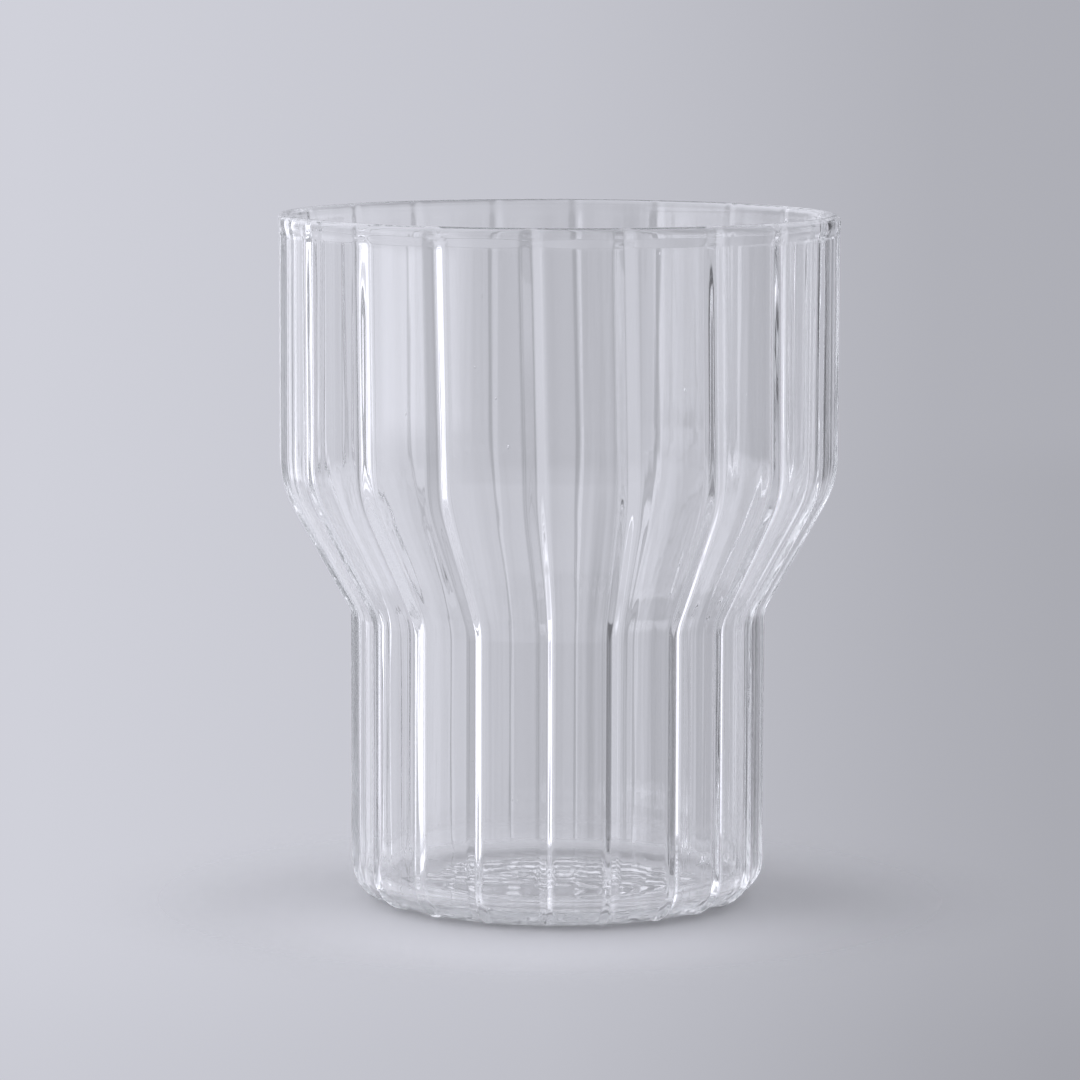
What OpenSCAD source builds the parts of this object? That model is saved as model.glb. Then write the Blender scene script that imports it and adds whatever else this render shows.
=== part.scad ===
// Ribbed drinking glass: a wide upper wall on a sloping shoulder and a narrower lower wall.
// Millimetres, +Z up, origin at the middle of the face that it stands on.
// The glass is divided where its forming steps meet, and the pieces touch face to face.

/* [Overall] */
// Height from the table to the top of the rim
height = 100; // [90:1:120]
// Diameter of the upper wall, over the ribs
upper_d = 82; // [76:1:94]
// Diameter of the lower wall, over the ribs
lower_d = 61; // [54:1:68]

/* [Glass] */
// Wall thickness between the ribs
wall = 1.6; // [1.2:0.1:2.4]
// Thickness of the bottom
floor_t = 2.2; // [1.8:0.1:4]

/* [Ribs] */
// Number of ribs round the glass
rib_count = 20; // [12:1:28]
// How far a rib stands out of the wall
rib_h = 0.6; // [0.3:0.05:1]
// Angle that one rib covers, with its flanks
rib_span = 6; // [4:0.5:8]

/* [Shoulder] */
// Height where the slope would meet the lower wall without its bend
shoulder_low = 42.4; // [34:0.2:46]
// Height where the slope would meet the upper wall without its bend
shoulder_high = 61.2; // [56:0.2:70]
// Radius of the inward bend at the foot of the slope
low_bend_r = 4.4; // [3:0.2:8]
// Radius of the outward bend at the head of the slope
high_bend_r = 13; // [8:0.5:18]

/* [Rim] */
// Straight height of the rim bead under its rounded top
rim_band = 1; // [0.6:0.1:3]

/* [Base] */
// Radius of the outside corner between wall and bottom
corner_r = 6; // [4:0.25:8]
// Radius of the inside corner between wall and floor
inner_corner_r = 4.2; // [2.5:0.1:6]
// Width of the flat ring that the heel adds round the bottom disc
foot_ring = 2; // [1:0.25:4]
// Diameter of the hollow under the bottom
hollow_d = 38; // [20:1:40]
// Depth of the hollow under the bottom
hollow_depth = 0.7; // [0.3:0.1:1.2]

/* [Hidden] */
$fn = 96;
glass_colour = [0.86, 0.91, 0.92, 0.5];

upper_r = upper_d / 2;
lower_r = lower_d / 2;
full_wall = wall + rib_h;
upper_bore_r = upper_r - full_wall;
lower_bore_r = lower_r - full_wall;

// The shoulder's slope from the vertical, and how far each bend reaches along its wall
slope = atan2(upper_r - lower_r, shoulder_high - shoulder_low);
shoulder_bottom = shoulder_low - low_bend_r * tan(slope / 2);
shoulder_top = shoulder_high + high_bend_r * tan(slope / 2);

// Heel, seam of the bottom disc and rim
heel_margin = 1;
heel_top = max(corner_r, floor_t + inner_corner_r) + heel_margin;
foot_r = lower_r - corner_r;
disc_r = foot_r - foot_ring;
rim_r = full_wall / 2;
rim_bottom = height - rim_r - rim_band;

// Steps along one rib, one panel and the bends
rib_steps = 6;
panel_steps = 2;
low_bend_steps = 3;
high_bend_steps = 5;
corner_steps = 6;
inner_corner_steps = 4;
hollow_steps = 8;

// Directions round the glass: through each rib, then across the panel that follows it
pitch = 360 / rib_count;
rib_offsets = [for (i = [0:rib_steps]) rib_span * (i / rib_steps - 0.5)];
panel_offsets = [
    for (i = [1:panel_steps - 1]) rib_span / 2 + (pitch - rib_span) * i / panel_steps
];
offsets = concat(rib_offsets, panel_offsets);
directions = [for (k = [0:rib_count - 1], o = offsets) [k * pitch + o, rib_rise(o)]];

// Share of the rib's height at an angle from its middle: a narrow crest with hollow flanks
function rib_rise(o) = abs(o) < rib_span / 2 ? pow(cos(180 * o / rib_span), 4) : 0;

// Depth of the outside below the rib crests in one direction
function drop(direction) = rib_h * (1 - direction[1]);

// Radius and height of a point that lies depth below the crest, at angle a round each bend
function low_bend(a, depth) = [
    lower_r + low_bend_r - (low_bend_r + depth) * cos(a),
    shoulder_bottom + (low_bend_r + depth) * sin(a)
];
function high_bend(a, depth) = [
    upper_r - high_bend_r + (high_bend_r - depth) * cos(a),
    shoulder_top - (high_bend_r - depth) * sin(a)
];
function corner(a, depth) = [
    foot_r + (corner_r - depth * cos(a)) * cos(a),
    corner_r - (corner_r - depth * cos(a)) * sin(a)
];

function inner_corner(a) = [
    lower_bore_r - inner_corner_r * (1 - cos(a)),
    floor_t + inner_corner_r * (1 - sin(a))
];

// Places a radius and height in one direction
function spot(direction, rz) = [
    rz[0] * cos(direction[0]), rz[0] * sin(direction[0]), rz[1]
];

// A plain round ring of points
function round_ring(rz) = [for (d = directions) spot(d, rz)];

// A list from its last entry to its first
function reversed(list) = [for (i = [len(list) - 1:-1:0]) list[i]];

// Angles round each bend, from its vertical end
low_angles = [for (i = [0:low_bend_steps]) slope * i / low_bend_steps];
high_angles = [for (i = [0:high_bend_steps]) slope * i / high_bend_steps];
corner_angles = [for (i = [0:corner_steps]) 90 * i / corner_steps];
inner_corner_angles = [for (i = [0:inner_corner_steps]) 90 * i / inner_corner_steps];

// A closed hollow shell: its rings run up the outside and down the inside
module shell(rings) {
    n = len(rings[0]);
    m = len(rings);
    faces = [
        for (k = [0:m - 1], i = [0:n - 1])
            let (j = (i + 1) % n, low = k * n, high = (k + 1) % m * n)
                each [[low + i, high + i, low + j], [low + j, high + i, high + j]]
    ];
    polyhedron(points = [for (r = rings) each r], faces = faces);
}

// A straight ribbed tube between two heights
module ribbed_tube(crest_r, bore_r, bottom, top) {
    outline = [
        for (d = directions) (crest_r - drop(d)) * [cos(d[0]), sin(d[0])]
    ];
    translate([0, 0, bottom])
        linear_extrude(top - bottom)
            difference() {
                polygon(outline);
                circle(bore_r);
            }
}

// The thick rounded edge that the lips meet
module rim_bead() {
    color(glass_colour)
        rotate_extrude()
            translate([upper_bore_r, rim_bottom]) {
                square([full_wall, rim_band]);
                intersection() {
                    translate([rim_r, rim_band])
                        circle(rim_r);
                    translate([0, rim_band])
                        square([full_wall, rim_r]);
                }
            }
}

// The wide ribbed wall under the rim
module upper_wall() {
    color(glass_colour)
        ribbed_tube(upper_r, upper_bore_r, shoulder_top, rim_bottom);
}

// The ribbed slope, with a bend at each end
module shoulder() {
    outside = concat(
        [for (a = low_angles) [for (d = directions) spot(d, low_bend(a, drop(d)))]],
        [for (a = reversed(high_angles)) [for (d = directions) spot(d, high_bend(a, drop(d)))]]
    );
    inside = concat(
        [for (a = high_angles) round_ring(high_bend(a, full_wall))],
        [for (a = reversed(low_angles)) round_ring(low_bend(a, full_wall))]
    );
    color(glass_colour)
        shell(concat(outside, inside));
}

// The narrow ribbed wall that a hand holds
module lower_wall() {
    color(glass_colour)
        ribbed_tube(lower_r, lower_bore_r, heel_top, shoulder_bottom);
}

// The rounded corner where the ribs turn under the glass and fade out
module heel() {
    outside = concat(
        [for (a = reversed(corner_angles)) [for (d = directions) spot(d, corner(a, drop(d)))]],
        [[for (d = directions) spot(d, [lower_r - drop(d), heel_top])]]
    );
    inside = concat(
        [round_ring([lower_bore_r, heel_top])],
        [for (a = inner_corner_angles) round_ring(inner_corner(a))],
        [round_ring([disc_r, floor_t]), round_ring([disc_r, 0])]
    );
    color(glass_colour)
        shell(concat(outside, inside));
}

// The flat bottom, hollowed underneath so that it stands on a ring
module base_disc() {
    shares = [for (i = [0:hollow_steps]) i / hollow_steps];
    hollow = [for (s = shares) [s * hollow_d / 2, hollow_depth * (1 - s * s)]];
    edge = [[disc_r, 0], [disc_r, floor_t], [0, floor_t]];
    color(glass_colour)
        rotate_extrude()
            polygon(concat(hollow, edge));
}

rim_bead();
upper_wall();
shoulder();
lower_wall();
heel();
base_disc();
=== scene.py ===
"""A clear ribbed drinking glass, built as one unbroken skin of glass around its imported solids."""

import math

import bpy
import numpy as np
from mathutils import Matrix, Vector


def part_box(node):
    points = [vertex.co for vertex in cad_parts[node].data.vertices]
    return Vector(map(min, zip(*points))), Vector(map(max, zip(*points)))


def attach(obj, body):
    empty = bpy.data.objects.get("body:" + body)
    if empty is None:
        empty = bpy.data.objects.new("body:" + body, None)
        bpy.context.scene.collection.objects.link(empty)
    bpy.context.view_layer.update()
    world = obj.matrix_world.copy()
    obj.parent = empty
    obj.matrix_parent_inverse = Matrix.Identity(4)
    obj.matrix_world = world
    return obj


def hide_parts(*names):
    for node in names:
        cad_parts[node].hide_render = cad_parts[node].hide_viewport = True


MM = 0.001

# Sizes that the solids don't give directly
FULL_WALL = 2.2 * MM
LOW_BEND_R = 4.4 * MM
HIGH_BEND_R = 13 * MM
CORNER_R = 6 * MM
INNER_CORNER_R = 2 * MM
HOLLOW_R = 19 * MM
HOLLOW_DEPTH = 0.7 * MM
# How far the ridges stay inside the solids' box, and how much longer an eased bend is than a plain arc
SKIN_INSET = 0.02 * MM
BEND_EASE = 1.5
# The search for the shoulder's slope: the steepest angle and the number of halvings
STEEPEST_SLOPE = math.radians(80)
SLOPE_HALVINGS = 60

# Ribs: a ridge between two sloping flanks, sharp on the lower wall and rounder on the upper one
RIB_COUNT = 20
PITCH = 2 * math.pi / RIB_COUNT
RIDGE_HEIGHT = 0.75 * MM
RIDGE_LOW_R = 0.06 * MM
RIDGE_HIGH_R = 0.2 * MM
FLANK_RUN = 0.95 * MM
FLANK_RAKE = 1.75
FLANK_FILLET = 0.15
FLANK_REACH = 2.4 * MM
UPPER_STRETCH = 1.3
PANEL_DISH = 0.1 * MM
# Ribs at the back: their share of the height and width, how much rounder they are,
# and how far in front of the middle the change begins, as a share of the radius
FAR_HEIGHT = 0.27
FAR_WIDTH = 0.5
FAR_ROUNDING = 1.0
FAR_START = 0.5

# How far the rim bead blends into the wall, and the knots where the ridges run into it
BEAD_BLEND = 1.2 * MM
BEAD_SHARE = 0.45
KNOT_DEPTH = 0.22 * MM
KNOT_WIDTH = 0.7 * MM
KNOT_STEP = 1.1 * MM
KNOT_REACH = 2.5 * MM

# Fineness of the skin: columns across one flank and one panel, rows along each stretch
FLANK_COLUMNS = 12
FLANK_EASE = 1.6
PANEL_COLUMNS = 6
RIM_ROWS = 8
BEAD_ROWS = 12
WALL_ROWS = 6
BEND_ROWS = 13
CONE_ROWS = 16
LOWER_ROWS = 2
CORNER_ROWS = 16
HOLLOW_ROWS = 6
INNER_BEAD_ROWS = 1
INNER_WALL_ROWS = 4
INNER_BEND_ROWS = 8
INNER_CONE_ROWS = 3
INNER_CORNER_ROWS = 10
FLOOR_ROWS = 26

# Handmade unevenness: ribs that lean, in degrees at the foot, the shoulder and the rim
SEED = 7
LEAN = 0.8
FRONT_LEANS = {
    12: (-1.5, -2.0, -2.5),
    13: (-1.3, -2.3, -3.2),
    14: (0.0, -1.4, -2.6),
    15: (1.6, 0.2, -1.0),
    16: (0.8, -0.2, -1.2),
    17: (1.6, 1.0, 0.2),
    18: (0.0, -0.1, -0.6),
}
# Ribs that are steeper on their right flank, or below zero on their left one
FRONT_RAKES = {12: 1.0, 13: -0.7, 14: 0.75, 15: 0.35, 16: -0.4, 17: -0.2, 18: -0.6}
# Shallow waves in the skins, from drawing the hot glass: how deep, and how many go round
INNER_WAVE = 0.004 * MM
OUTER_WAVE = 0.003 * MM
INNER_WAVE_COUNTS = (24, 80)
OUTER_WAVE_COUNTS = (10, 50)
WAVE_COUNT = 14
WAVE_TWIST = 25.0
# Ripples of the floor: how deep, the shortest and longest, and how quickly they rise from its edge
FLOOR_WAVE = 0.065 * MM
FLOOR_WAVE_SHORT = 1.8 * MM
FLOOR_WAVE_LONG = 5 * MM
FLOOR_WAVE_EDGE = 3

# Tiny gas bubbles in the wall
BUBBLE_COUNT = 40
UPPER_BUBBLE_SHARE = 0.7
BUBBLE_DEPTH = 1.5 * MM
BUBBLE_SMALL = 0.04 * MM
BUBBLE_LARGE = 0.14 * MM
BUBBLE_STRETCH = 3.0
BUBBLE_ROWS = 6
BUBBLE_SIDES = 8

# The glass itself: its refraction, and a slight, almost neutral absorption
GLASS_IOR = 1.473
GLASS_TINT = (0.43, 0.46, 0.45, 1)
GLASS_DENSITY = 5
# Fine upright lines from drawing the glass: how many to a radian and to a metre, how deep,
# and the heights at which they begin and are at their full depth
LINES_ROUND = 30
LINES_UP = 25
LINE_DEPTH = 0.012 * MM
LINES_FROM = 3 * MM
LINES_FULL = 8 * MM

# Camera of the photograph: a long lens, slightly above the rim
CAMERA_LENS = 176.7
CAMERA_SENSOR = 36
CAMERA_DISTANCE = 766.7 * MM
CAMERA_HEIGHT = 140.4 * MM
CAMERA_ASIDE = -2.53 * MM
CAMERA_AZIMUTH = math.radians(4.3)
CAMERA_PITCH = math.radians(6.55)
CAMERA_ROLL = math.radians(0.16)
# Enough bounces for light that is guided inside the wall
LIGHT_BOUNCES = 64

# The table: painted light falloff in its levels from left to right within reach of the glass, and a painted
# pool of light in front of it
FLOOR_SIZE = 4.0
FLOOR_GAP = 0.1 * MM
FLOOR_TINT = (1.0, 1.0, 1.0)
FLOOR_REACH = 100 * MM
# Painted light falloff: the table's colour is lighter on the left and darker on the right, in place of the
# lamps' light falling off across it
FLOOR_PAINTED_FALLOFF = [(0.0, 0.7), (0.5, 0.62), (1.0, 0.4)]
# Painted pool of light: how much lighter the table is painted in front of the glass, where light passing
# through the glass would fall, and where it ends
FLOOR_PAINTED_POOL = 1.3
PAINTED_POOL_CENTRE = (0, -25 * MM, 0)
PAINTED_POOL_FULL = 20 * MM
PAINTED_POOL_END = 55 * MM
# How far from the middle the table starts to fade into the backdrop, and where it is gone
FADE_START = 32 * MM
FADE_END = 75 * MM

# The studio's slightly blue white
STAGE_TINT = (0.99, 1.0, 1.10)
# Brightness round the glass by degrees from the backdrop, turning right: the pale table far away
TABLE_LEVELS = [
    (-180, 0.5),
    (-90, 0.66),
    (-40, 0.74),
    (-10, 0.6),
    (-4, 0.52),
    (0, 0.4),
    (2, 0.36),
    (20, 0.42),
    (70, 0.6),
    (135, 0.52),
    (180, 0.5),
]
# The studio near the level of the table: a soft lamp on the left, a dark stretch and then a white board
# on the right, and dark behind the camera
LOW_LEVELS = [
    (-180, 0.12),
    (-150, 0.15),
    (-130, 0.8),
    (-112, 0.7),
    (-100, 0.5),
    (-70, 0.5),
    (-52, 0.55),
    (-46, 0.8),
    (-41, 1.7),
    (-31, 1.7),
    (-27, 1.0),
    (-23, 0.62),
    (-10, 0.64),
    (-4, 0.555),
    (0, 0.435),
    (2, 0.395),
    (8, 0.5),
    (16, 0.5),
    (21, 0.12),
    (24, 0.1),
    (32, 0.1),
    (38, 0.48),
    (60, 0.6),
    (86, 0.7),
    (104, 0.74),
    (120, 0.55),
    (142, 0.45),
    (154, 0.2),
    (180, 0.12),
]
# The same studio at the height of the rim, with a second lamp on the left
HIGH_LEVELS = [
    (-180, 0.12),
    (-152, 0.15),
    (-147, 0.4),
    (-141, 1.7),
    (-118, 2.1),
    (-108, 2.0),
    (-100, 0.75),
    (-90, 0.55),
    (-70, 0.55),
    (-52, 0.6),
    (-46, 0.8),
    (-40, 1.5),
    (-30, 1.5),
    (-26, 1.0),
    (-22, 0.64),
    (-10, 0.64),
    (-4, 0.555),
    (0, 0.44),
    (2, 0.42),
    (8, 0.52),
    (18, 0.52),
    (22, 0.1),
    (24, 0.05),
    (33, 0.05),
    (38, 0.45),
    (54, 0.5),
    (82, 0.7),
    (104, 0.8),
    (124, 0.55),
    (142, 0.3),
    (160, 0.12),
    (180, 0.12),
]
# The lamps above the backdrop
ABOVE_LEVELS = [
    (-180, 0.1),
    (-150, 0.2),
    (-130, 1.6),
    (-80, 1.8),
    (-48, 1.5),
    (-24, 0.9),
    (0, 0.8),
    (24, 1.3),
    (48, 1.5),
    (72, 1.1),
    (96, 0.76),
    (120, 0.6),
    (144, 0.4),
    (168, 0.1),
    (180, 0.1),
]
# Each band with the heights in degrees between which it takes over from the one below
BANDS = [(LOW_LEVELS, -12.5, -10.5), (HIGH_LEVELS, -6, -5.2), (ABOVE_LEVELS, 8, 18)]
# The even light overhead, and the heights in degrees between which it takes over
OVERHEAD_LEVEL = 0.9
OVERHEAD_FROM = 40
OVERHEAD_FULL = 60


def smooth_step(t):
    """Eases from 0 to 1 as t does, and stays at the ends beyond."""
    t = np.clip(t, 0, 1)
    return t * t * (3 - 2 * t)


class Profile:
    """The glass's heights and radii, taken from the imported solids."""

    def __init__(self):
        self.upper_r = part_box("upper_wall")[1].x - SKIN_INSET
        self.lower_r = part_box("lower_wall")[1].x - SKIN_INSET
        self.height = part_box("rim_bead")[1].z
        self.shoulder_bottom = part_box("shoulder")[0].z
        self.shoulder_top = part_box("shoulder")[1].z
        self.floor_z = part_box("base_disc")[1].z
        self.rim_r = FULL_WALL / 2
        self.rim_z = self.height - self.rim_r
        self.bead_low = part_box("rim_bead")[0].z
        self.slope = self.find_slope()

    def find_slope(self):
        """The shoulder's angle from the vertical, at which both bends and the cone fit its height."""
        bend_r = LOW_BEND_R + HIGH_BEND_R
        rise = self.shoulder_top - self.shoulder_bottom
        reach = self.upper_r - self.lower_r
        low, high = 0.0, STEEPEST_SLOPE
        for _ in range(SLOPE_HALVINGS):
            a = (low + high) / 2
            span = bend_r * (1 - math.cos(a)) + (rise - bend_r * math.sin(a)) * math.tan(a)
            low, high = (a, high) if span < reach else (low, a)
        return low

    def widening(self, z):
        """0 on the lower wall, 1 on the upper wall and an eased step over the shoulder."""
        return smooth_step((z - self.shoulder_bottom) / (self.shoulder_top - self.shoulder_bottom))

    def rim(self, start, end):
        """Stations round the rim's rounded top, between two angles."""
        middle = self.upper_r - self.rim_r
        turns = np.linspace(start, end, RIM_ROWS + 1)
        return [(middle + self.rim_r * math.cos(t), self.rim_z + self.rim_r * math.sin(t)) for t in turns]

    def bend(self, radius, rows):
        """An eased bend from the vertical into the shoulder's slope: way out, way down, turns and reach."""
        turns = self.slope * smooth_step(np.linspace(0, 1, rows + 1))
        step = BEND_EASE * radius * self.slope / rows
        middles = (turns[1:] + turns[:-1]) / 2
        out = np.append(0, np.cumsum(step * np.sin(middles)))
        down = np.append(0, np.cumsum(step * np.cos(middles)))
        return out, down, turns, out[-1] / math.sin(self.slope)

    def wall(self, end_z, bead_rows, wall_rows, bend_rows, cone_rows):
        """Stations down the crests from the rim bead to end_z: radius, height and downward turn."""
        half = math.tan(self.slope / 2)
        out, down, turns, reach = self.bend(HIGH_BEND_R, bend_rows)
        top = self.shoulder_top - HIGH_BEND_R * half + reach
        blend_z = self.bead_low - BEAD_BLEND
        heights = list(np.linspace(self.rim_z, blend_z, bead_rows + 1)[1:])
        heights += list(np.linspace(blend_z, top, wall_rows + 1)[1:-1])
        stations = [(self.upper_r, z, 0) for z in heights]
        stations += list(zip(self.upper_r - out, top - down, turns))
        out, down, turns, reach = self.bend(LOW_BEND_R, bend_rows)
        bottom = self.shoulder_bottom + LOW_BEND_R * half - reach
        foot = list(zip(self.lower_r + out, bottom + down, turns))[::-1]
        head = np.array(stations[-1])
        for s in np.linspace(0, 1, cone_rows + 1)[1:-1]:
            stations.append(tuple(head + (np.array(foot[0]) - head) * s))
        stations += foot
        for z in np.linspace(bottom, end_z, LOWER_ROWS + 1)[1:]:
            stations.append((self.lower_r, z, 0))
        return stations

    def outside(self, columns):
        """Rings down the outside, with the ridges and the hollows between them."""
        rows = []
        for r, z in self.rim(math.pi / 2, 0):
            round_share = (r - self.upper_r + self.rim_r) / self.rim_r
            rows.append((r - columns.depth(z) * BEAD_SHARE * round_share, z))
        blend = self.rim_z - self.bead_low + BEAD_BLEND
        for r, z, a in self.wall(CORNER_R, BEAD_ROWS, WALL_ROWS, BEND_ROWS, CONE_ROWS):
            share = BEAD_SHARE + (1 - BEAD_SHARE) * smooth_step((self.rim_z - z) / blend)
            depth = columns.depth(z) * share + columns.knots(z)
            rows.append((r - depth * math.cos(a), z + depth * math.sin(a)))
        foot_r = self.lower_r - CORNER_R
        for a in np.linspace(0, math.pi / 2, CORNER_ROWS + 1)[1:]:
            reach = CORNER_R - columns.depth(0) * math.sqrt(max(math.cos(a), 0))
            rows.append((foot_r + reach * math.cos(a), CORNER_R - reach * math.sin(a)))
        for s in np.linspace(1, 0, HOLLOW_ROWS + 1)[:-1]:
            rows.append((HOLLOW_R * s, HOLLOW_DEPTH * (1 - s * s)))
        return rows

    def inside(self):
        """Rings from the rim down the inside to the middle of the floor."""
        rows = self.rim(math.pi / 2, math.pi)[1:]
        heel_top = self.floor_z + INNER_CORNER_R
        stations = self.wall(heel_top, INNER_BEAD_ROWS, INNER_WALL_ROWS, INNER_BEND_ROWS, INNER_CONE_ROWS)
        for r, z, a in stations:
            rows.append((r - FULL_WALL * math.cos(a), z + FULL_WALL * math.sin(a)))
        corner_r = self.lower_r - FULL_WALL - INNER_CORNER_R
        for a in np.linspace(0, math.pi / 2, INNER_CORNER_ROWS + 1)[1:]:
            z = self.floor_z + INNER_CORNER_R * (1 - math.sin(a))
            rows.append((corner_r + INNER_CORNER_R * math.cos(a), z))
        for s in np.linspace(1, 0, FLOOR_ROWS + 1)[1:-1]:
            rows.append((corner_r * s, self.floor_z))
        return rows


class Columns:
    """The columns of points round the glass: across each ridge and its flanks, then across a panel."""

    def __init__(self, rng, profile):
        self.profile = profile
        flank = np.linspace(0, 1, FLANK_COLUMNS + 1) ** FLANK_EASE
        panel = np.linspace(0, 1, PANEL_COLUMNS + 1)[1:-1]
        beside = np.concatenate([-flank[:0:-1], flank, np.ones(len(panel))])
        across = np.concatenate([np.zeros(len(beside) - len(panel)), panel])
        self.count = RIB_COUNT * len(beside)
        self.beside = FLANK_REACH * np.tile(beside, RIB_COUNT)
        self.across = np.tile(across, RIB_COUNT)
        self.ribs = np.repeat(np.arange(RIB_COUNT), len(beside))
        self.leans = rng.uniform(-LEAN, LEAN, (3, RIB_COUNT))
        for rib, degrees in FRONT_LEANS.items():
            self.leans[:, rib] = degrees
        self.starts = rng.uniform(0, 2 * math.pi, RIB_COUNT)
        rakes = np.zeros(RIB_COUNT)
        for rib, rake in FRONT_RAKES.items():
            rakes[rib] = rake
        far = smooth_step(np.sin(self.ribs * PITCH) + FAR_START)
        self.near = 1 - far
        self.rounding = 1 + FAR_ROUNDING * far
        self.runs = FLANK_RUN * FLANK_RAKE ** (-np.sign(self.beside) * rakes[self.ribs])
        self.runs *= 1 - (1 - FAR_WIDTH) * far
        self.heights = RIDGE_HEIGHT * (1 - (1 - FAR_HEIGHT) * far)

    def stretch(self, z):
        """How much wider the ribs are at a height than on the lower wall."""
        return 1 + (UPPER_STRETCH - 1) * self.profile.widening(z)

    def centres(self, z):
        """Angles of the ridges at a height, from their lean at the foot, the shoulder and the rim."""
        foot, shoulder, rim = np.radians(self.leans)
        top = self.profile.shoulder_top
        upper = np.clip((z - top) / (self.profile.height - top), 0, 1)
        lean = foot + (shoulder - foot) * self.profile.widening(z) + (rim - shoulder) * upper
        return np.arange(RIB_COUNT) * PITCH + lean

    def turned(self, z):
        """Angles of all columns at a height."""
        centres = self.centres(z)
        following = np.append(centres[1:], centres[0] + 2 * math.pi)
        profile = self.profile
        ridge_r = profile.lower_r + (profile.upper_r - profile.lower_r) * profile.widening(z)
        wide = self.stretch(z) / ridge_r
        gaps = following - centres - 2 * FLANK_REACH * wide
        return centres[self.ribs] + self.beside * wide + self.across * gaps[self.ribs]

    def depth(self, z):
        """Depth of the outside below the front ridges at a height, with panels dished as parabolas."""
        ridge_r = RIDGE_LOW_R + (RIDGE_HIGH_R - RIDGE_LOW_R) * self.profile.widening(z)
        ridge_r = ridge_r * self.rounding
        slope = 1 - (np.hypot(self.beside, ridge_r) - ridge_r) / self.runs
        rise = (slope + np.hypot(slope, FLANK_FILLET)) / (1 + math.hypot(1, FLANK_FILLET))
        return RIDGE_HEIGHT - self.heights * rise + PANEL_DISH * 4 * self.across * (1 - self.across)

    def knots(self, z):
        """Depth of the dents where the ridges run into the rim bead."""
        near = smooth_step(1 - abs(z - self.profile.bead_low) / KNOT_REACH)
        ripple = 0.5 + 0.5 * np.sin(2 * math.pi * z / KNOT_STEP + self.starts[self.ribs])
        dents = np.exp(-(self.beside / KNOT_WIDTH) ** 2) * (self.across == 0)
        return KNOT_DEPTH * near * ripple * self.near * dents


class Waves:
    """Shallow upright waves round a skin, the same at every run."""

    def __init__(self, rng, low, high):
        self.counts = rng.randint(low, high, WAVE_COUNT)
        self.starts = rng.uniform(0, 2 * math.pi, WAVE_COUNT)
        self.twists = rng.uniform(-WAVE_TWIST, WAVE_TWIST, WAVE_COUNT)

    def at(self, angles, z):
        """The waves' sum at these angles and heights, about 1 deep."""
        total = 0
        for count, start, twist in zip(self.counts, self.starts, self.twists):
            total = total + np.sin(count * angles + start + twist * z)
        return total / math.sqrt(WAVE_COUNT)


def floor_waves(rng, x, y):
    """Uneven height of the glass floor, as crossing ripples about 1 deep."""
    total = 0
    for _ in range(WAVE_COUNT):
        turn = rng.uniform(0, math.pi)
        length = rng.uniform(FLOOR_WAVE_SHORT, FLOOR_WAVE_LONG)
        along = (x * math.cos(turn) + y * math.sin(turn)) * 2 * math.pi / length
        total = total + np.sin(along + rng.uniform(0, 2 * math.pi))
    return total / math.sqrt(WAVE_COUNT)


def ring(columns, row, waves, depth):
    """One ring of points; waves move it along its radius by about depth."""
    r, z = row
    turned = columns.turned(np.mean(z))
    z = z + np.zeros(columns.count)
    r = r + depth * waves.at(turned, z)
    return np.stack([r * np.cos(turned), r * np.sin(turned), z], axis=1)


def skin_faces(ring_count, count):
    """Faces between neighbouring rings, and a fan at each end round a centre point of its own."""
    out_centre = ring_count * count
    in_centre = out_centre + 1
    last = out_centre - count
    faces = []
    for low in range(0, last, count):
        high = low + count
        for i in range(count):
            j = (i + 1) % count
            faces.append((low + i, low + j, high + j, high + i))
    for i in range(count):
        j = (i + 1) % count
        faces.append((out_centre, j, i))
        faces.append((in_centre, last + i, last + j))
    return faces


def ripple_floor(rng, points):
    """Lifts the floor's points by its ripples, which fade out at the radius of the first point."""
    x = points[:, 0]
    y = points[:, 1]
    away = np.hypot(x, y)
    inset = smooth_step(FLOOR_WAVE_EDGE * (1 - away / away[0]))
    on_floor = points[:, 2] > HOLLOW_DEPTH
    points[:, 2] += np.where(on_floor, FLOOR_WAVE * inset * floor_waves(rng, x, y), 0)


def gas_bubble(rng, profile):
    """Points and faces of one tiny gas bubble inside the wall, drawn out upwards."""
    upper = rng.uniform() < UPPER_BUBBLE_SHARE
    if upper:
        z = rng.uniform(profile.shoulder_top, profile.bead_low - BEAD_BLEND)
        r = profile.upper_r - BUBBLE_DEPTH
    else:
        z = rng.uniform(CORNER_R, profile.shoulder_bottom)
        r = profile.lower_r - BUBBLE_DEPTH
    angle = rng.uniform(0, 2 * math.pi)
    size = rng.uniform(BUBBLE_SMALL, BUBBLE_LARGE)
    half_height = size * rng.uniform(1, BUBBLE_STRETCH)
    points = []
    for k in range(1, BUBBLE_ROWS):
        tilt = math.pi * k / BUBBLE_ROWS
        round_r = size * math.sin(tilt)
        for i in range(BUBBLE_SIDES):
            turn = 2 * math.pi * i / BUBBLE_SIDES
            points.append((round_r * math.cos(turn), round_r * math.sin(turn), half_height * math.cos(tilt)))
    points += [(0, 0, half_height), (0, 0, -half_height)]
    top = len(points) - 2
    bottom = len(points) - 1
    last = (BUBBLE_ROWS - 2) * BUBBLE_SIDES
    faces = []
    for i in range(BUBBLE_SIDES):
        j = (i + 1) % BUBBLE_SIDES
        faces.append((top, j, i))
        for above in range(0, last, BUBBLE_SIDES):
            below = above + BUBBLE_SIDES
            faces.append((above + i, above + j, below + j, below + i))
        faces.append((bottom, last + i, last + j))
    return np.array(points) + (r * math.cos(angle), r * math.sin(angle), z), faces


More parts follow.
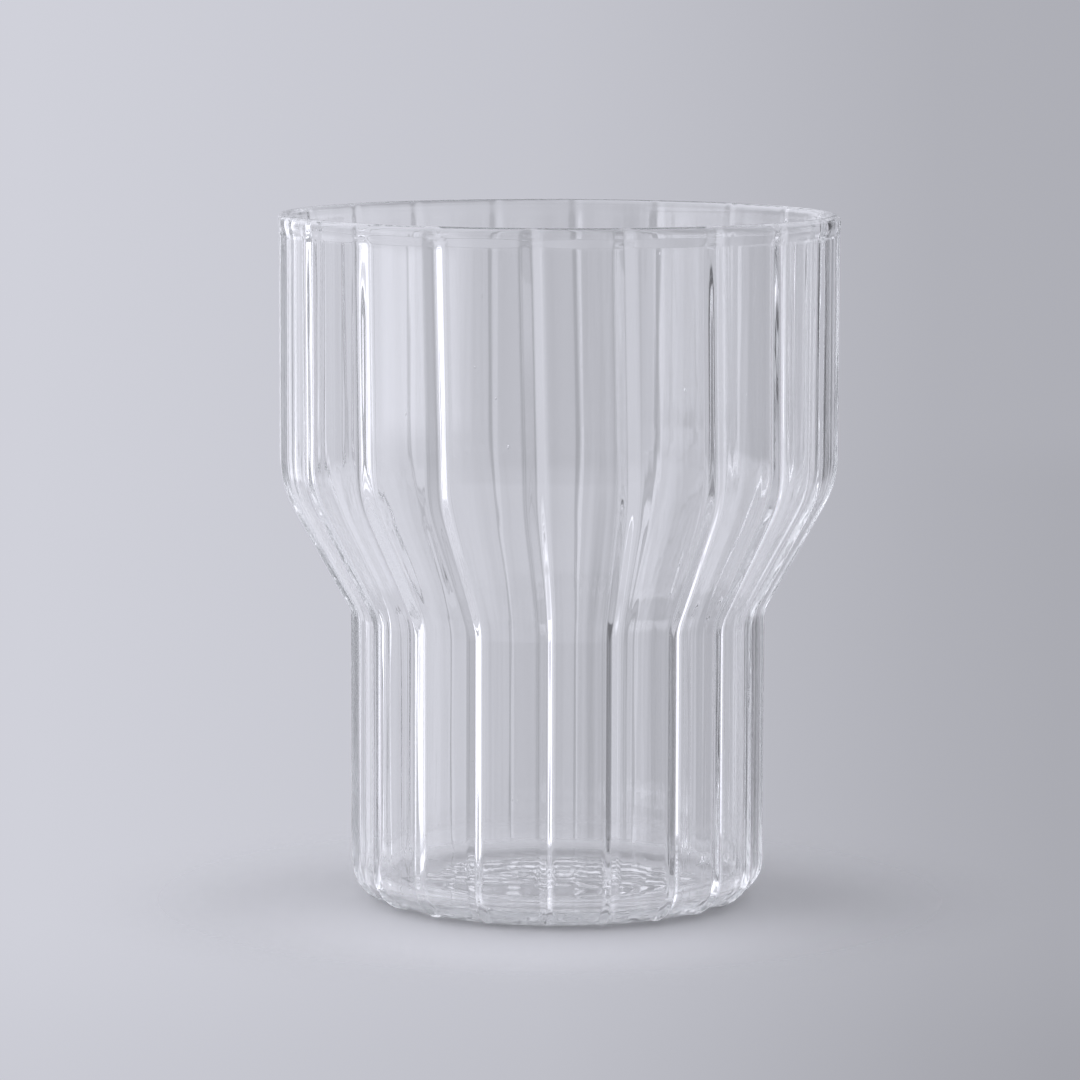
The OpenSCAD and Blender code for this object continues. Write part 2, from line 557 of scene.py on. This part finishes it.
def glass_mesh(profile):
    """One closed mesh: up the outside from the middle of the underside, over the rim, down to the floor."""
    rng = np.random.RandomState(SEED)
    columns = Columns(rng, profile)
    outer = Waves(rng, *OUTER_WAVE_COUNTS)
    inner = Waves(rng, *INNER_WAVE_COUNTS)
    out_rings = [ring(columns, row, outer, OUTER_WAVE) for row in profile.outside(columns)]
    in_rings = [ring(columns, row, inner, INNER_WAVE) for row in profile.inside()]
    rings = out_rings[::-1] + in_rings
    points = np.concatenate(rings + [[[0, 0, HOLLOW_DEPTH]], [[0, 0, profile.floor_z]]])
    faces = skin_faces(len(rings), columns.count)
    floor_start = (len(rings) - FLOOR_ROWS + 1) * columns.count
    ripple_floor(rng, points[floor_start:])
    for _ in range(BUBBLE_COUNT):
        bubble_points, bubble_faces = gas_bubble(rng, profile)
        start = len(points)
        faces += [tuple(start + i for i in face) for face in bubble_faces]
        points = np.concatenate([points, bubble_points])
    mesh = bpy.data.meshes.new("glass_body")
    mesh.from_pydata(points.tolist(), [], faces)
    mesh.polygons.foreach_set("use_smooth", [True] * len(mesh.polygons))
    mesh.validate()
    mesh.update()
    return mesh


def node(tree, kind, **properties):
    """Adds a shader node and sets its properties."""
    made = tree.nodes.new(kind)
    for name, value in properties.items():
        setattr(made, name, value)
    return made


def math_node(tree, operation, *values):
    """A sum, product or the like of sockets and plain numbers."""
    made = node(tree, "ShaderNodeMath", operation=operation)
    for slot, value in enumerate(values):
        if isinstance(value, (int, float)):
            made.inputs[slot].default_value = value
        else:
            tree.links.new(value, made.inputs[slot])
    return made.outputs[0]


def eased(tree, value, low, high):
    """0 below low, 1 above high and a soft step between them."""
    step = node(tree, "ShaderNodeMapRange", interpolation_type="SMOOTHSTEP")
    step.inputs["From Min"].default_value = low
    step.inputs["From Max"].default_value = high
    tree.links.new(value, step.inputs["Value"])
    return step.outputs["Result"]


def spread(tree, value, low, high):
    """0 below low, 1 above high and an even rise between them."""
    rise = node(tree, "ShaderNodeMapRange")
    rise.inputs["From Min"].default_value = low
    rise.inputs["From Max"].default_value = high
    tree.links.new(value, rise.inputs["Value"])
    return rise.outputs["Result"]


def level_ramp(tree, factor, stops, tints=STAGE_TINT):
    """A ramp of grey levels, in the studio's slightly blue white unless told otherwise."""
    ramp = node(tree, "ShaderNodeValToRGB")
    elements = ramp.color_ramp.elements
    while len(elements) < len(stops):
        elements.new(1.0)
    for element, (position, level) in zip(elements, stops):
        element.position = position
        element.color = tuple(level * tint for tint in tints) + (1,)
    tree.links.new(factor, ramp.inputs["Fac"])
    return ramp.outputs["Color"]


def mixed(tree, factor, low, high):
    """Blends two colours."""
    blend = node(tree, "ShaderNodeMix", data_type="RGBA")
    tree.links.new(factor, blend.inputs["Factor"])
    for socket, value in (("A", low), ("B", high)):
        target = [s for s in blend.inputs if s.name == socket and s.type == "RGBA"][0]
        if isinstance(value, tuple):
            target.default_value = value
        else:
            tree.links.new(value, target)
    return [s for s in blend.outputs if s.type == "RGBA"][0]


def new_material(name):
    """A material that has only its output."""
    material = bpy.data.materials.new(name)
    material.use_nodes = True
    material.node_tree.nodes.clear()
    return material, node(material.node_tree, "ShaderNodeOutputMaterial")


def draw_lines(tree):
    """A shallow bump of fine upright lines, which fades out towards the floor."""
    where = node(tree, "ShaderNodeTexCoord")
    split = node(tree, "ShaderNodeSeparateXYZ")
    tree.links.new(where.outputs["Object"], split.inputs[0])
    forward = math_node(tree, "MULTIPLY", split.outputs["Y"], -1)
    turn = math_node(tree, "ARCTAN2", split.outputs["X"], forward)
    place = node(tree, "ShaderNodeCombineXYZ")
    tree.links.new(math_node(tree, "MULTIPLY", turn, LINES_ROUND), place.inputs["X"])
    tree.links.new(math_node(tree, "MULTIPLY", split.outputs["Z"], LINES_UP), place.inputs["Y"])
    lines = node(tree, "ShaderNodeTexNoise")
    lines.inputs["Scale"].default_value = 1.0
    lines.inputs["Detail"].default_value = 1.0
    tree.links.new(place.outputs[0], lines.inputs["Vector"])
    bump = node(tree, "ShaderNodeBump")
    bump.inputs["Distance"].default_value = LINE_DEPTH
    tree.links.new(eased(tree, split.outputs["Z"], LINES_FROM, LINES_FULL), bump.inputs["Strength"])
    tree.links.new(lines.outputs["Fac"], bump.inputs["Height"])
    return bump.outputs["Normal"]


def glass_material():
    """Clear borosilicate glass: sharp refraction, fine draw lines and a slight absorption."""
    material, output = new_material("clear_glass")
    tree = material.node_tree
    shader = node(tree, "ShaderNodeBsdfPrincipled")
    shader.inputs["Base Color"].default_value = (1, 1, 1, 1)
    shader.inputs["Roughness"].default_value = 0.0
    shader.inputs["IOR"].default_value = GLASS_IOR
    shader.inputs["Transmission Weight"].default_value = 1.0
    tint = node(tree, "ShaderNodeVolumeAbsorption")
    tint.inputs["Color"].default_value = GLASS_TINT
    tint.inputs["Density"].default_value = GLASS_DENSITY
    tree.links.new(draw_lines(tree), shader.inputs["Normal"])
    tree.links.new(shader.outputs["BSDF"], output.inputs["Surface"])
    tree.links.new(tint.outputs["Volume"], output.inputs["Volume"])
    return material


def floor_material():
    """A pale table with painted light falling off from left to right and a painted pool of light in front of
    the glass, which lightens its shadow there; it fades into the backdrop away from it.
    """
    material, output = new_material("table")
    tree = material.node_tree
    shader = node(tree, "ShaderNodeBsdfDiffuse")
    clear = node(tree, "ShaderNodeBsdfTransparent")
    mix = node(tree, "ShaderNodeMixShader")
    where = node(tree, "ShaderNodeTexCoord")
    split = node(tree, "ShaderNodeSeparateXYZ")
    tree.links.new(where.outputs["Object"], split.inputs[0])
    side = spread(tree, split.outputs["X"], -FLOOR_REACH, FLOOR_REACH)
    # Painted light falloff across the table, from left to right
    painted_falloff = level_ramp(tree, side, FLOOR_PAINTED_FALLOFF, FLOOR_TINT)
    # Painted pool of light in front of the glass, lightening its shadow there
    painted_pool_levels = [(position, level * FLOOR_PAINTED_POOL) for position, level in FLOOR_PAINTED_FALLOFF]
    painted_pool = level_ramp(tree, side, painted_pool_levels, FLOOR_TINT)
    front = node(tree, "ShaderNodeVectorMath", operation="DISTANCE")
    front.inputs[1].default_value = PAINTED_POOL_CENTRE
    tree.links.new(where.outputs["Object"], front.inputs[0])
    tone_with_painted_light = mixed(tree, eased(tree, front.outputs["Value"], PAINTED_POOL_FULL, PAINTED_POOL_END), painted_pool, painted_falloff)
    tree.links.new(tone_with_painted_light, shader.inputs["Color"])
    away = node(tree, "ShaderNodeVectorMath", operation="LENGTH")
    tree.links.new(where.outputs["Object"], away.inputs[0])
    tree.links.new(eased(tree, away.outputs["Value"], FADE_START, FADE_END), mix.inputs["Fac"])
    tree.links.new(shader.outputs["BSDF"], mix.inputs[1])
    tree.links.new(clear.outputs["BSDF"], mix.inputs[2])
    tree.links.new(mix.outputs["Shader"], output.inputs["Surface"])
    return material


def make_floor():
    """The table under the glass."""
    half = FLOOR_SIZE / 2
    mesh = bpy.data.meshes.new("floor")
    corners = [(-half, -half), (half, -half), (half, half), (-half, half)]
    mesh.from_pydata([(x, y, -FLOOR_GAP) for x, y in corners], [], [(0, 1, 2, 3)])
    floor = bpy.data.objects.new("floor", mesh)
    bpy.context.scene.collection.objects.link(floor)
    floor.data.materials.append(floor_material())


def turn_stops(levels):
    """Levels by degrees as stops of a ramp that goes once round."""
    return [((degrees + 180) / 360, level) for degrees, level in levels]


def make_world():
    """The studio as a ring of soft light and shade over a pale table."""
    world = bpy.data.worlds.new("studio")
    bpy.context.scene.world = world
    world.use_nodes = True
    tree = world.node_tree
    tree.nodes.clear()
    output = node(tree, "ShaderNodeOutputWorld")
    background = node(tree, "ShaderNodeBackground")
    where = node(tree, "ShaderNodeTexCoord")
    split = node(tree, "ShaderNodeSeparateXYZ")
    tree.links.new(where.outputs["Generated"], split.inputs[0])
    around = math_node(tree, "ARCTAN2", split.outputs["X"], split.outputs["Y"])
    turn = spread(tree, around, -math.pi, math.pi)
    rise = math_node(tree, "ARCSINE", split.outputs["Z"])
    whole = level_ramp(tree, turn, turn_stops(TABLE_LEVELS))
    for levels, start, end in BANDS:
        band = level_ramp(tree, turn, turn_stops(levels))
        whole = mixed(tree, eased(tree, rise, math.radians(start), math.radians(end)), whole, band)
    overhead = tuple(OVERHEAD_LEVEL * tint for tint in STAGE_TINT) + (1,)
    above = eased(tree, rise, math.radians(OVERHEAD_FROM), math.radians(OVERHEAD_FULL))
    whole = mixed(tree, above, whole, overhead)
    tree.links.new(whole, background.inputs["Color"])
    tree.links.new(background.outputs["Background"], output.inputs["Surface"])


def make_camera():
    """The photograph's view of the glass."""
    data = bpy.data.cameras.new("camera")
    data.lens = CAMERA_LENS
    data.sensor_width = CAMERA_SENSOR
    camera = bpy.data.objects.new("camera", data)
    bpy.context.scene.collection.objects.link(camera)
    turn = Matrix.Rotation(CAMERA_AZIMUTH, 4, "Z")
    place = Matrix.Translation((CAMERA_ASIDE, -CAMERA_DISTANCE, CAMERA_HEIGHT))
    tilt = Matrix.Rotation(math.pi / 2 - CAMERA_PITCH, 4, "X")
    roll = Matrix.Rotation(CAMERA_ROLL, 4, "Z")
    camera.matrix_world = turn @ place @ tilt @ roll
    bpy.context.scene.camera = camera


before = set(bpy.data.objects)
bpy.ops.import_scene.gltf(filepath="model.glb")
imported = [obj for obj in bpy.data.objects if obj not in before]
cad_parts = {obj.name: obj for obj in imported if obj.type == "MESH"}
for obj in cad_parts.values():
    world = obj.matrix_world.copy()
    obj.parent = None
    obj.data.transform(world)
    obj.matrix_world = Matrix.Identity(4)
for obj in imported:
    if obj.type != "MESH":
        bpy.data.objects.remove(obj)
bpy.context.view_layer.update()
scene = bpy.context.scene
scene.view_settings.view_transform = "Standard"
scene.cycles.max_bounces = LIGHT_BOUNCES
scene.cycles.glossy_bounces = LIGHT_BOUNCES
scene.cycles.transmission_bounces = LIGHT_BOUNCES
make_camera()
make_floor()
make_world()

glass = bpy.data.objects.new("glass_body", glass_mesh(Profile()))
scene.collection.objects.link(glass)
glass.data.materials.append(glass_material())
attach(glass, "root")
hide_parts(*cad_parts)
